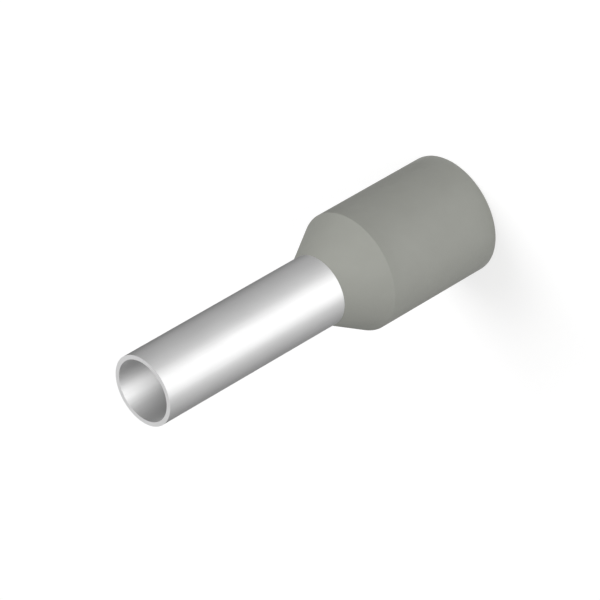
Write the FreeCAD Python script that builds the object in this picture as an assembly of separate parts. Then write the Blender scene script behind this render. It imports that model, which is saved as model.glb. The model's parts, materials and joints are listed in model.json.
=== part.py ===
import FreeCAD, Part
import math
import os

# Insulated wire ferrule
#
# A thin metal sleeve is flared at its rear end. The flare lies on a conical seat inside a moulded
# collar, and the collar's nose grips the sleeve. The wire goes in at the collar's wide mouth, its
# insulation stops in the barrel, and the flare guides the bare strands into the sleeve.
#
# Sizes are in millimetres. The ferrule stands on the collar's mouth, with its axis on Z and the
# sleeve's tip up. Heights are measured from the mouth.

# Contact sleeve
#
# Its front length runs from the tip to where the collar's cone would meet it in a sharp corner.
sleeve_bore_diameter = 2.8
sleeve_wall = 0.2
sleeve_front_length = 10.0
tip_edge_radius = 0.02
flare_bend_radius = 0.3
flare_edge_radius = 0.06

# Insulating collar
#
# Its cone runs from the ridge to that sharp corner. The nose stops short of it, at an edge that is
# wide enough to mould.
collar_bore_diameter = 4.8
collar_wall = 0.3
barrel_length = 6.1
cone_length = 1.9
nose_edge_width = 0.02
nose_draft_angle = 2.0
ridge_radius = 0.08
seat_corner_radius = 0.1
mouth_outer_edge_radius = 0.05
mouth_inner_edge_radius = 0.1

# Clearances between the two
grip_clearance = 0.01
flare_edge_clearance = 0.1

# Radii and heights that follow from those sizes
sleeve_bore_radius = sleeve_bore_diameter / 2
sleeve_radius = sleeve_bore_radius + sleeve_wall
collar_bore_radius = collar_bore_diameter / 2
barrel_radius = collar_bore_radius + collar_wall
nose_radius = sleeve_radius + grip_clearance + nose_edge_width
corner_height = barrel_length + cone_length
tip_height = corner_height + sleeve_front_length


class Wall:
    """One straight wall of a turned outline.

    It has a given radius at a given height, and its spread is how much the radius grows for each
    millimetre nearer the mouth.
    """

    def __init__(self, radius, height=0.0, spread=0.0):
        self.radius = radius
        self.height = height
        self.spread = spread

    def offset(self, distance):
        """The wall moved away from the axis, by a distance measured square to the wall."""
        return Wall(self.radius + distance * math.hypot(1, self.spread), self.height, self.spread)

    def radius_at(self, height):
        return self.radius + (self.height - height) * self.spread

    def height_at(self, radius):
        return self.height - (radius - self.radius) / self.spread

    def meets(self, other):
        """The radius and height where this wall crosses another."""
        height = (other.radius_at(0) - self.radius_at(0)) / (other.spread - self.spread)
        return self.radius_at(height), height


# The walls that the two pieces share
cone = Wall(sleeve_radius, corner_height, (barrel_radius - sleeve_radius) / cone_length)
seat = cone.offset(-collar_wall)
nose_height = cone.height_at(nose_radius)
grip = Wall(sleeve_radius, nose_height, math.tan(math.radians(nose_draft_angle)))


def rounded(before, corner, after, radius):
    """The points of one corner of an outline: the corner itself, or an arc's start, middle and end."""
    if radius == 0:
        return [corner]
    back = (before - corner).normalize()
    ahead = (after - corner).normalize()
    half_angle = back.getAngle(ahead) / 2
    inward = (back + ahead).normalize()
    reach = radius / math.tan(half_angle)
    sagitta = radius / math.sin(half_angle) - radius
    return [corner + back * reach, corner + inward * sagitta, corner + ahead * reach]


def turned(outline):
    """The solid made by turning a closed outline about Z. Each corner is (radius, height, rounding)."""
    corners = [FreeCAD.Vector(radius, 0, height) for radius, height, _ in outline]
    following = corners[1:] + corners[:1]
    stretches = [
        rounded(corners[i - 1], corners[i], following[i], outline[i][2])
        for i in range(len(outline))
    ]
    edges = []
    for here, there in zip(stretches, stretches[1:] + stretches[:1]):
        if len(here) == 3:
            edges.append(Part.Arc(*here).toShape())
        edges.append(Part.LineSegment(here[-1], there[0]).toShape())
    face = Part.Face(Part.Wire(edges))
    return face.revolve(FreeCAD.Vector(0, 0, 0), FreeCAD.Vector(0, 0, 1), 360)


def contact_sleeve():
    """A tube of one wall thickness all along: straight, eased under the nose, then flared.

    The flare's rim is square to its wall, as a tube that was cut before it was flared.
    """
    outside = Wall(sleeve_radius)
    bore = Wall(sleeve_bore_radius)
    grip_inside = grip.offset(-sleeve_wall)
    flare = seat.offset(-grip_clearance)
    flare_inside = flare.offset(-sleeve_wall)

    rim_radius = collar_bore_radius - flare_edge_clearance
    rim_height = flare.height_at(rim_radius)
    flare_angle = math.atan(flare.spread)
    rim_inside_radius = rim_radius - sleeve_wall * math.cos(flare_angle)
    rim_inside_height = rim_height - sleeve_wall * math.sin(flare_angle)

    return turned([
        (sleeve_radius, tip_height, tip_edge_radius),
        (*outside.meets(grip), 0),
        (*grip.meets(flare), flare_bend_radius),
        (rim_radius, rim_height, flare_edge_radius),
        (rim_inside_radius, rim_inside_height, flare_edge_radius),
        (*grip_inside.meets(flare_inside), flare_bend_radius + sleeve_wall),
        (*bore.meets(grip_inside), 0),
        (sleeve_bore_radius, tip_height, tip_edge_radius),
    ])


def insulating_collar():
    """A moulding of one wall thickness: barrel, cone with the seat inside it, and drafted nose."""
    bore = Wall(collar_bore_radius)
    nose_bore = grip.offset(grip_clearance)

    return turned([
        (nose_bore.radius_at(nose_height), nose_height, 0),
        (nose_radius, nose_height, 0),
        (barrel_radius, barrel_length, ridge_radius),
        (barrel_radius, 0, mouth_outer_edge_radius),
        (collar_bore_radius, 0, mouth_inner_edge_radius),
        (*bore.meets(seat), seat_corner_radius),
        (*seat.meets(nose_bore), flare_bend_radius - grip_clearance),
    ])


os.makedirs("parts", exist_ok=True)
contact_sleeve().exportStep("parts/contact_sleeve.step")
insulating_collar().exportStep("parts/insulating_collar.step")
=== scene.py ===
import json
import math

import bmesh
import bpy
from mathutils import Matrix, Vector


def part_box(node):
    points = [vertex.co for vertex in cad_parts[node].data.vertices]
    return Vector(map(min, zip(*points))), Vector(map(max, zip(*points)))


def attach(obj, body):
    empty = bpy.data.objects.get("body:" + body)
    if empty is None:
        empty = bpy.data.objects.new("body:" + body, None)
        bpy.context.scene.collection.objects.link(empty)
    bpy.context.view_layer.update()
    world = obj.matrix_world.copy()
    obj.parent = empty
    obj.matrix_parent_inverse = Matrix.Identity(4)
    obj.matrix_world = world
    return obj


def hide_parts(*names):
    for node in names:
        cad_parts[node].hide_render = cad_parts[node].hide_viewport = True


# Insulated wire ferrule: a tinned copper sleeve, flared at the rear, seated in a moulded collar.
# It stands on the collar's mouth with its axis on Z. Lengths are metres, as in the frame.

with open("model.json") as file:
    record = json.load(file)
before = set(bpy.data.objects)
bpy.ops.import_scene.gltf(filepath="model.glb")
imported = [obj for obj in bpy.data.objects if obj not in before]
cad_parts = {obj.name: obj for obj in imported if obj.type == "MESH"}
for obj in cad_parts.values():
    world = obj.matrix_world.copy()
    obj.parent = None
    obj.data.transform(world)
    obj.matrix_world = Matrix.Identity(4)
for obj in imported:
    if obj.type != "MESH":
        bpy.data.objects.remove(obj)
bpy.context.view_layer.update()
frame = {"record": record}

MM = 0.001

# Sizes read from the frame
mounts = {mount["name"]: mount for mount in frame["record"]["mounts"]}
SLEEVE_BORE = mounts["conductor_bore"]["dims"]["r_mm"] * MM
SLEEVE_OUTSIDE = mounts["bare_sleeve"]["dims"]["r_mm"] * MM
COLLAR_BORE = mounts["wire_entry"]["dims"]["r_mm"] * MM
BARREL_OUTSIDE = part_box("insulating_collar")[1].x
NOSE_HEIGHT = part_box("insulating_collar")[1].z
TIP_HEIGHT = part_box("contact_sleeve")[1].z
SLEEVE_WALL = SLEEVE_OUTSIDE - SLEEVE_BORE
COLLAR_WALL = BARREL_OUTSIDE - COLLAR_BORE

# Small forms, the same as on the solids
BARREL_LENGTH = 6.1 * MM
GRIP_CLEARANCE = 0.01 * MM
NOSE_EDGE_WIDTH = 0.02 * MM
NOSE_DRAFT = math.tan(math.radians(2.0))
FLARE_EDGE_CLEARANCE = 0.1 * MM
FLARE_EDGE_RADIUS = 0.06 * MM
FLARE_BEND_RADIUS = 0.3 * MM
RIDGE_RADIUS = 0.08 * MM
SEAT_CORNER_RADIUS = 0.1 * MM
MOUTH_OUTER_EDGE_RADIUS = 0.05 * MM
MOUTH_INNER_EDGE_RADIUS = 0.1 * MM

# Edges that are finer than on the solids, because a bright or dark line would show there
TIP_EDGE_RADIUS = 0.005 * MM
LIP_WIDTH = 0.005 * MM

# Fineness of the meshes
#
# An edge shorter than the shortest wall is a step of a rounding. A wall has rings at an even
# spacing, and one at a small margin from each of its ends.
STEPS_AROUND = 240
STEPS_IN_EDGE = 6
SHORTEST_WALL = 0.15 * MM
RING_SPACING = 0.4 * MM
RING_MARGIN = 0.01 * MM
MERGE_DISTANCE = 0.00001 * MM

# Finishes
#
# Waves are how often the unevenness comes and goes in a metre, along X, Y and Z. Only the middle of
# the noise's range is used. A relief is its greatest depth.
NOISE_RANGE = (0.3, 0.7)
TIN_DARK = (0.765, 0.765, 0.765)
TIN_LIGHT = (0.795, 0.795, 0.795)
TIN_CLOUD_WAVES = (1200, 1200, 700)
TIN_ROUGHNESS = (0.32, 0.38)
TIN_LINE_WAVES = (9000, 9000, 260)
TIN_RELIEF = 0.0006 * MM
TIN_RELIEF_WAVES = (16000, 16000, 500)
PLASTIC_DARK = (0.325, 0.33, 0.3)
PLASTIC_LIGHT = (0.335, 0.34, 0.31)
PLASTIC_CLOUD_WAVES = (900, 900, 900)
PLASTIC_ROUGHNESS = (0.5, 0.6)
PLASTIC_PATCH_WAVES = (3000, 3000, 3000)
PLASTIC_RELIEF = 0.002 * MM
PLASTIC_RELIEF_WAVES = (16000, 16000, 16000)

# Camera
#
# Its lens and sensor are in millimetres, as the camera wants them, its roll is in degrees, and its
# shift is a share of the picture's width.
CAMERA_DISTANCE = 0.1994
CAMERA_ROLL = -120
CAMERA_LENS = 288.4
CAMERA_SENSOR = 36
CAMERA_SHIFT = -0.0003

# Studio
#
# A lamp's place is (degrees round the axis from the camera's side, degrees above the floor), and a
# card's tone is (degrees round the axis, brightness). The cards glow and only reflections see them,
# so their tones are painted reflections on the tube. A card's fade is the share of the tone that is
# left at its far end.
FLOOR_RADIUS = 0.6
FLOOR_SIDES = 64
FLOOR_COLOUR = (0.4, 0.4, 0.4)
FLOOR_LIFT = 0.66
AMBIENT = 0.41
BACKDROP = 0.77
SOFTBOX_DISTANCE = 0.35
SOFTBOX_SIZE = 0.16
FRONT_SOFTBOX = (17, 13)
FRONT_POWER = 0.59
TOP_SOFTBOX = (-99, 67)
TOP_POWER = 0.66

# Painted reflection round the foot: a glowing card, bright in front and grey behind, that gives the
# tube its bright band and dark sides.
PAINTED_FLOOR_REFLECTION_RADII = (3 * MM, FLOOR_RADIUS)
PAINTED_FLOOR_REFLECTION_HEIGHT = 0.05 * MM
PAINTED_FLOOR_REFLECTION_TONES = (
    (0, 1.44), (36, 1.45), (48, 1.23), (64, 0.77), (80, 0.64), (96, 0.51), (112, 0.39), (144, 0.25),
    (180, 0.13), (216, 0.19), (248, 0.42), (280, 0.51), (312, 0.69), (328, 0.78), (344, 1.18),
    (360, 1.44),
)
PAINTED_FLOOR_REFLECTION_FADE = 0.4
PAINTED_FLOOR_REFLECTION_FADE_RADII = (45 * MM, 110 * MM)
# Painted reflection in the bore: a glowing card just inside the tip that gives the bore's wall its
# highlight and shade.
PAINTED_BORE_REFLECTION_RADIUS = 0.99 * SLEEVE_BORE
PAINTED_BORE_REFLECTION_DEPTHS = (0.4 * MM, 4.6 * MM)
PAINTED_BORE_REFLECTION_TONES = (
    (0, 1.85), (27, 2.15), (54, 1.7), (81, 0.97), (108, 0.5), (162, 0.28), (198, 0.28), (252, 0.41),
    (306, 0.74), (333, 1.1), (360, 1.85),
)
PAINTED_BORE_REFLECTION_FADE = 0.2


# Walls of an outline
#
# A wall is (radius at the mouth's level, spread), and the spread is how much the radius grows for
# each metre nearer the mouth.

def wall_through(radius, height, spread):
    return radius + height * spread, spread


def offset(wall, distance):
    """The wall moved away from the axis, by a distance measured square to it."""
    return wall[0] + distance * math.hypot(1, wall[1]), wall[1]


def height_at(wall, radius):
    """The height where a wall has a given radius."""
    return (wall[0] - radius) / wall[1]


def meet(wall, other):
    """The radius and height where two walls cross."""
    height = (other[0] - wall[0]) / (other[1] - wall[1])
    return wall[0] - wall[1] * height, height


NOSE_OUTSIDE = SLEEVE_OUTSIDE + GRIP_CLEARANCE + NOSE_EDGE_WIDTH
CONE_SPREAD = (BARREL_OUTSIDE - NOSE_OUTSIDE) / (NOSE_HEIGHT - BARREL_LENGTH)
cone = wall_through(NOSE_OUTSIDE, NOSE_HEIGHT, CONE_SPREAD)
seat = offset(cone, -COLLAR_WALL)
grip = wall_through(SLEEVE_OUTSIDE, NOSE_HEIGHT, NOSE_DRAFT)


# Turned pieces

def turn_round(mesh):
    """Turns an outline about Z, all the way round."""
    bmesh.ops.spin(
        mesh, geom=mesh.verts[:] + mesh.edges[:], cent=(0, 0, 0), axis=(0, 0, 1),
        angle=2 * math.pi, steps=STEPS_AROUND, use_merge=True,
    )


def add_object(name, mesh):
    """Puts a finished mesh into the scene."""
    data = bpy.data.meshes.new(name)
    mesh.to_mesh(data)
    mesh.free()
    added = bpy.data.objects.new(name, data)
    bpy.context.scene.collection.objects.link(added)
    return added


def round_corner(mesh, vert, radius):
    """Rounds one corner of an outline that is still a loop of edges."""
    ways = [(edge.other_vert(vert).co - vert.co).normalized() for edge in vert.link_edges]
    turn = math.pi - ways[0].angle(ways[1])
    bmesh.ops.bevel(
        mesh, geom=[vert], offset=radius * math.tan(turn / 2), offset_type="OFFSET",
        segments=STEPS_IN_EDGE, profile=0.5, affect="VERTICES", material=-1,
    )


def split_wall(mesh, edge):
    """Splits a straight wall of an outline, evenly and close to its ends.

    The shading then stays even along the wall, and changes only in the margins at its ends.
    """
    for end in edge.verts[:]:
        far = edge.other_vert(end)
        _, ring = bmesh.utils.edge_split(edge, end, RING_MARGIN / edge.calc_length())
        edge = mesh.edges.get((ring, far))
    cuts = int(edge.calc_length() / RING_SPACING)
    if cuts:
        bmesh.ops.subdivide_edges(mesh, edges=[edge], cuts=cuts)


def turned_piece(name, outline):
    """A piece turned about Z. Each corner of its closed outline is (radius, height, rounding)."""
    mesh = bmesh.new()
    corners = [mesh.verts.new((radius, 0, height)) for radius, height, _ in outline]
    for here, there in zip(corners, corners[1:] + corners[:1]):
        mesh.edges.new((here, there))
    for vert, (_, _, rounding) in zip(corners, outline):
        if rounding:
            round_corner(mesh, vert, rounding)
    for edge in mesh.edges[:]:
        if edge.calc_length() > SHORTEST_WALL:
            split_wall(mesh, edge)
    turn_round(mesh)
    bmesh.ops.remove_doubles(mesh, verts=mesh.verts, dist=MERGE_DISTANCE)
    bmesh.ops.recalc_face_normals(mesh, faces=mesh.faces)
    for face in mesh.faces:
        face.smooth = True
    return add_object(name, mesh)


def make_sleeve():
    """The tube: straight, eased under the nose, then flared onto the collar's seat."""
    outside = (SLEEVE_OUTSIDE, 0)
    bore = (SLEEVE_BORE, 0)
    grip_inside = offset(grip, -SLEEVE_WALL)
    flare = offset(seat, -GRIP_CLEARANCE)
    flare_inside = offset(flare, -SLEEVE_WALL)
    rim_radius = COLLAR_BORE - FLARE_EDGE_CLEARANCE
    rim_height = height_at(flare, rim_radius)
    flare_angle = math.atan(flare[1])
    return turned_piece("sleeve_tube", [
        (SLEEVE_OUTSIDE, TIP_HEIGHT, TIP_EDGE_RADIUS),
        (*meet(outside, grip), 0),
        (*meet(grip, flare), FLARE_BEND_RADIUS),
        (rim_radius, rim_height, FLARE_EDGE_RADIUS),
        (rim_radius - SLEEVE_WALL * math.cos(flare_angle),
         rim_height - SLEEVE_WALL * math.sin(flare_angle), FLARE_EDGE_RADIUS),
        (*meet(grip_inside, flare_inside), FLARE_BEND_RADIUS + SLEEVE_WALL),
        (*meet(bore, grip_inside), 0),
        (SLEEVE_BORE, TIP_HEIGHT, TIP_EDGE_RADIUS),
    ])


def make_collar():
    """The moulding: barrel, cone with the seat inside it, and drafted nose.

    The nose ends in a thin lip that touches the sleeve all round.
    """
    bore = (COLLAR_BORE, 0)
    nose_bore = offset(grip, GRIP_CLEARANCE)
    lip_radius = SLEEVE_OUTSIDE + LIP_WIDTH
    lip_height = height_at(cone, lip_radius)
    return turned_piece("collar_moulding", [
        (SLEEVE_OUTSIDE, lip_height, 0),
        (lip_radius, lip_height, 0),
        (BARREL_OUTSIDE, BARREL_LENGTH, RIDGE_RADIUS),
        (BARREL_OUTSIDE, 0, MOUTH_OUTER_EDGE_RADIUS),
        (COLLAR_BORE, 0, MOUTH_INNER_EDGE_RADIUS),
        (*meet(bore, seat), SEAT_CORNER_RADIUS),
        (*meet(seat, nose_bore), FLARE_BEND_RADIUS - GRIP_CLEARANCE),
    ])


# Materials

def new_material(name):
    """A material with its node tree and its shader, on which all plain values are set."""
    material = bpy.data.materials.new(name)
    material.use_nodes = True
    return material, material.node_tree, material.node_tree.nodes["Principled BSDF"]


def uneven():
    """A group that both materials use: soft noise, stretched as each needs, between two values."""
    group = bpy.data.node_groups.new("uneven", "ShaderNodeTree")
    group.interface.new_socket("Waves per Metre", in_out="INPUT", socket_type="NodeSocketVector")
    for name in ("Detail", "Low", "High"):
        group.interface.new_socket(name, in_out="INPUT", socket_type="NodeSocketFloat")
    group.interface.new_socket("Value", in_out="OUTPUT", socket_type="NodeSocketFloat")
    given = group.nodes.new("NodeGroupInput")
    place = group.nodes.new("ShaderNodeTexCoord")
    stretch = group.nodes.new("ShaderNodeMapping")
    noise = group.nodes.new("ShaderNodeTexNoise")
    noise.inputs["Scale"].default_value = 1
    spread = group.nodes.new("ShaderNodeMapRange")
    spread.inputs["From Min"].default_value, spread.inputs["From Max"].default_value = NOISE_RANGE
    result = group.nodes.new("NodeGroupOutput")
    link = group.links.new
    link(place.outputs["Object"], stretch.inputs["Vector"])
    link(given.outputs["Waves per Metre"], stretch.inputs["Scale"])
    link(stretch.outputs["Vector"], noise.inputs["Vector"])
    link(given.outputs["Detail"], noise.inputs["Detail"])
    link(noise.outputs["Fac"], spread.inputs["Value"])
    link(given.outputs["Low"], spread.inputs["To Min"])
    link(given.outputs["High"], spread.inputs["To Max"])
    link(spread.outputs["Result"], result.inputs["Value"])
    return group


def add_uneven(tree, waves, detail, low=0, high=1):
    """The group's value in a material. More detail adds finer waves to the given ones."""
    node = tree.nodes.new("ShaderNodeGroup")
    node.node_tree = UNEVEN
    node.inputs["Waves per Metre"].default_value = waves
    node.inputs["Detail"].default_value = detail
    node.inputs["Low"].default_value = low
    node.inputs["High"].default_value = high
    return node.outputs["Value"]


def colour_between(tree, share, first, second):
    """A colour that goes from the first to the second as the share goes from 0 to 1."""
    mix = tree.nodes.new("ShaderNodeMix")
    mix.data_type = "RGBA"
    mix.inputs["A"].default_value = (*first, 1)
    mix.inputs["B"].default_value = (*second, 1)
    tree.links.new(share, mix.inputs["Factor"])
    return mix.outputs["Result"]


def relief(tree, shader, height, depth):
    """Fine relief of a real depth, in metres."""
    bump = tree.nodes.new("ShaderNodeBump")
    bump.inputs["Distance"].default_value = depth
    tree.links.new(height, bump.inputs["Height"])
    tree.links.new(bump.outputs["Normal"], shader.inputs["Normal"])


def tinned_copper():
    """Satin tin over drawn copper: soft clouds in the plating and faint lines along the tube."""
    material, tree, shader = new_material("tinned copper")
    shader.inputs["Metallic"].default_value = 1
    clouds = add_uneven(tree, TIN_CLOUD_WAVES, 3)
    colour = colour_between(tree, clouds, TIN_DARK, TIN_LIGHT)
    tree.links.new(colour, shader.inputs["Base Color"])
    lines = add_uneven(tree, TIN_LINE_WAVES, 2, *TIN_ROUGHNESS)
    tree.links.new(lines, shader.inputs["Roughness"])
    relief(tree, shader, add_uneven(tree, TIN_RELIEF_WAVES, 1), TIN_RELIEF)
    return material


def grey_polypropylene():
    """Matt moulded plastic: an even warm grey with the fine grain of the mould."""
    material, tree, shader = new_material("grey polypropylene")
    clouds = add_uneven(tree, PLASTIC_CLOUD_WAVES, 4)
    colour = colour_between(tree, clouds, PLASTIC_DARK, PLASTIC_LIGHT)
    tree.links.new(colour, shader.inputs["Base Color"])
    patches = add_uneven(tree, PLASTIC_PATCH_WAVES, 2, *PLASTIC_ROUGHNESS)
    tree.links.new(patches, shader.inputs["Roughness"])
    relief(tree, shader, add_uneven(tree, PLASTIC_RELIEF_WAVES, 2), PLASTIC_RELIEF)
    return material


# Stage, lights and camera

def direction(turn, elevation):
    """The way to a lamp or the camera, by degrees round the axis and degrees above the floor."""
    turn = math.radians(turn)
    elevation = math.radians(elevation)
    across = math.cos(elevation)
    return Vector((-math.sin(turn) * across, -math.cos(turn) * across, math.sin(elevation)))


def seen_directly(tree):
    """1 on rays from the camera and on those that metal or glass sends on, and 0 on other rays."""
    path = tree.nodes.new("ShaderNodeLightPath")
    total = path.outputs["Is Camera Ray"]
    for kind in ("Is Glossy Ray", "Is Transmission Ray"):
        add = tree.nodes.new("ShaderNodeMath")
        add.operation = "ADD"
        add.use_clamp = True
        tree.links.new(total, add.inputs[0])
        tree.links.new(path.outputs[kind], add.inputs[1])
        total = add.outputs["Value"]
    return total


def make_floor():
    """A pale floor that keeps soft shadows.

    What its own light lacks to white is added where it is seen directly.
    """
    bpy.ops.mesh.primitive_circle_add(vertices=FLOOR_SIDES, radius=FLOOR_RADIUS, fill_type="NGON")
    floor = bpy.context.object
    floor.name = "floor"
    material, tree, shader = new_material("floor")
    shader.inputs["Base Color"].default_value = (*FLOOR_COLOUR, 1)
    shader.inputs["Roughness"].default_value = 1
    shader.inputs["Specular IOR Level"].default_value = 0
    emission = tree.nodes.new("ShaderNodeEmission")
    lift = tree.nodes.new("ShaderNodeMath")
    lift.operation = "MULTIPLY"
    lift.inputs[1].default_value = FLOOR_LIFT
    tree.links.new(seen_directly(tree), lift.inputs[0])
    tree.links.new(lift.outputs["Value"], emission.inputs["Strength"])
    both = tree.nodes.new("ShaderNodeAddShader")
    tree.links.new(shader.outputs["BSDF"], both.inputs[0])
    tree.links.new(emission.outputs["Emission"], both.inputs[1])
    tree.links.new(both.outputs["Shader"], tree.nodes["Material Output"].inputs["Surface"])
    floor.data.materials.append(material)


def make_world():
    """Even light all round, and a pale backdrop where it is seen directly, past the floor."""
    world = bpy.data.worlds.new("studio")
    bpy.context.scene.world = world
    world.use_nodes = True
    tree = world.node_tree
    background = tree.nodes["Background"]
    background.inputs["Color"].default_value = (1, 1, 1, 1)
    level = tree.nodes.new("ShaderNodeMapRange")
    level.inputs["To Min"].default_value = AMBIENT
    level.inputs["To Max"].default_value = BACKDROP
    tree.links.new(seen_directly(tree), level.inputs["Value"])
    tree.links.new(level.outputs["Result"], background.inputs["Strength"])


def make_softbox(name, way, power):
    """A square lamp that points at the middle of the ferrule.

    Reflections don't see it: they see the glowing cards of painted reflection and the backdrop, so
    that no edge of the metal is lost in white from any side.
    """
    data = bpy.data.lights.new(name, "AREA")
    data.shape = "SQUARE"
    data.size = SOFTBOX_SIZE
    data.energy = power
    lamp = bpy.data.objects.new(name, data)
    lamp.visible_camera = False
    lamp.visible_glossy = False
    bpy.context.scene.collection.objects.link(lamp)
    away = direction(*way)
    lamp.matrix_world = (
        Matrix.Translation(Vector((0, 0, TIP_HEIGHT / 2)) + away * SOFTBOX_DISTANCE)
        @ away.to_track_quat("Z", "Y").to_matrix().to_4x4()
    )


def tone_round_axis(tree, place, tones):
    """A brightness that goes by the direction from the axis, with tones from 0 to 360 degrees."""
    brightest = max(tone for _, tone in tones)
    turn = tree.nodes.new("ShaderNodeMath")
    turn.operation = "ARCTAN2"
    share = tree.nodes.new("ShaderNodeMapRange")
    share.inputs["From Min"].default_value = -math.pi
    share.inputs["From Max"].default_value = math.pi
    ramp = tree.nodes.new("ShaderNodeValToRGB")
    stops = ramp.color_ramp.elements
    while len(stops) < len(tones):
        stops.new(1)
    for stop, (degrees, tone) in zip(stops, tones):
        stop.position = degrees / 360
        stop.color = (tone / brightest, tone / brightest, tone / brightest, 1)
    level = tree.nodes.new("ShaderNodeMath")
    level.operation = "MULTIPLY"
    level.inputs[1].default_value = brightest
    link = tree.links.new
    link(place.outputs["X"], turn.inputs[0])
    link(place.outputs["Y"], turn.inputs[1])
    link(turn.outputs["Value"], share.inputs["Value"])
    link(share.outputs["Result"], ramp.inputs["Fac"])
    link(ramp.outputs["Color"], level.inputs[0])
    return level.outputs["Value"]


def painted_reflection_glow(name, tones, fade, ends, across):
    """A card's own glow, which paints reflections: none on its back, and on its front the given
    tones.

    They fade between two ends. These are distances from the foot of the axis for a card that lies
    across the axis, and heights for one that stands along it.
    """
    material, tree, shader = new_material(name)
    tree.nodes.remove(shader)
    place = tree.nodes.new("ShaderNodeTexCoord").outputs["Object"]
    parts = tree.nodes.new("ShaderNodeSeparateXYZ")
    tree.links.new(place, parts.inputs["Vector"])
    level = tree.nodes.new("ShaderNodeMapRange")
    level.inputs["From Min"].default_value, level.inputs["From Max"].default_value = ends
    level.inputs["To Min"].default_value = 1
    level.inputs["To Max"].default_value = fade
    if across:
        away = tree.nodes.new("ShaderNodeVectorMath")
        away.operation = "LENGTH"
        tree.links.new(place, away.inputs[0])
        tree.links.new(away.outputs["Value"], level.inputs["Value"])
    else:
        tree.links.new(parts.outputs["Z"], level.inputs["Value"])
    faded = tree.nodes.new("ShaderNodeMath")
    faded.operation = "MULTIPLY"
    tree.links.new(level.outputs["Result"], faded.inputs[0])
    tree.links.new(tone_round_axis(tree, parts, tones), faded.inputs[1])
    emission = tree.nodes.new("ShaderNodeEmission")
    tree.links.new(faded.outputs["Value"], emission.inputs["Strength"])
    clear = tree.nodes.new("ShaderNodeBsdfTransparent")
    geometry = tree.nodes.new("ShaderNodeNewGeometry")
    sides = tree.nodes.new("ShaderNodeMixShader")
    tree.links.new(geometry.outputs["Backfacing"], sides.inputs["Fac"])
    tree.links.new(emission.outputs["Emission"], sides.inputs[1])
    tree.links.new(clear.outputs["BSDF"], sides.inputs[2])
    tree.links.new(sides.outputs["Shader"], tree.nodes["Material Output"].inputs["Surface"])
    return material


def make_card(name, first, second, light):
    """A card turned about Z from one straight edge, between two (radius, height) points.

    Its front is on the left of the way from the first point to the second, seen with Z up.
    """
    mesh = bmesh.new()
    ends = [mesh.verts.new((radius, 0, height)) for radius, height in (first, second)]
    mesh.edges.new(ends)
    turn_round(mesh)
    card = add_object(name, mesh)
    card.data.materials.append(light)
    card.visible_camera = False
    card.visible_diffuse = False
    card.visible_transmission = False
    card.visible_shadow = False


def make_painted_reflections():
    """Two glowing cards that only reflections see: they paint the metal's reflections and are no
    lamps.

    One lies round the foot, white in front and grey behind, and paints the tube's bright band and
    its dark sides. The other is rolled up just inside the tip and paints the highlight and shade in
    the bore. The floor stays white.
    """
    inner, outer = PAINTED_FLOOR_REFLECTION_RADII
    light = painted_reflection_glow(
        "painted_floor_reflection", PAINTED_FLOOR_REFLECTION_TONES, PAINTED_FLOOR_REFLECTION_FADE, PAINTED_FLOOR_REFLECTION_FADE_RADII, across=True,
    )
    make_card("painted_floor_reflection", (inner, PAINTED_FLOOR_REFLECTION_HEIGHT), (outer, PAINTED_FLOOR_REFLECTION_HEIGHT), light)
    top, bottom = (TIP_HEIGHT - depth for depth in PAINTED_BORE_REFLECTION_DEPTHS)
    light = painted_reflection_glow("painted_bore_reflection", PAINTED_BORE_REFLECTION_TONES, PAINTED_BORE_REFLECTION_FADE, (top, bottom), across=False)
    make_card("painted_bore_reflection", (PAINTED_BORE_REFLECTION_RADIUS, bottom), (PAINTED_BORE_REFLECTION_RADIUS, top), light)


def make_camera():
    """Isometric, from above, with the picture turned so that the tip is at the lower left."""
    elevation = math.atan(1 / math.sqrt(2))
    data = bpy.data.cameras.new("camera")
    data.sensor_width = CAMERA_SENSOR
    data.lens = CAMERA_LENS
    data.shift_x = CAMERA_SHIFT
    camera = bpy.data.objects.new("camera", data)
    bpy.context.scene.collection.objects.link(camera)
    bpy.context.scene.camera = camera
    middle = Vector((0, 0, TIP_HEIGHT / 2))
    back = direction(0, math.degrees(elevation))
    camera.matrix_world = (
        Matrix.Translation(middle + back * CAMERA_DISTANCE)
        @ Matrix.Rotation(math.pi / 2 - elevation, 4, "X")
        @ Matrix.Rotation(math.radians(CAMERA_ROLL), 4, "Z")
    )


UNEVEN = uneven()

make_camera()
make_floor()
make_world()
make_softbox("front softbox", FRONT_SOFTBOX, FRONT_POWER)
make_softbox("top softbox", TOP_SOFTBOX, TOP_POWER)
make_painted_reflections()

sleeve = make_sleeve()
sleeve.data.materials.append(tinned_copper())
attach(sleeve, "root")
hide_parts("contact_sleeve")

collar = make_collar()
collar.data.materials.append(grey_polypropylene())
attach(collar, "root")
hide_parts("insulating_collar")

bpy.context.scene.view_settings.view_transform = "Standard"
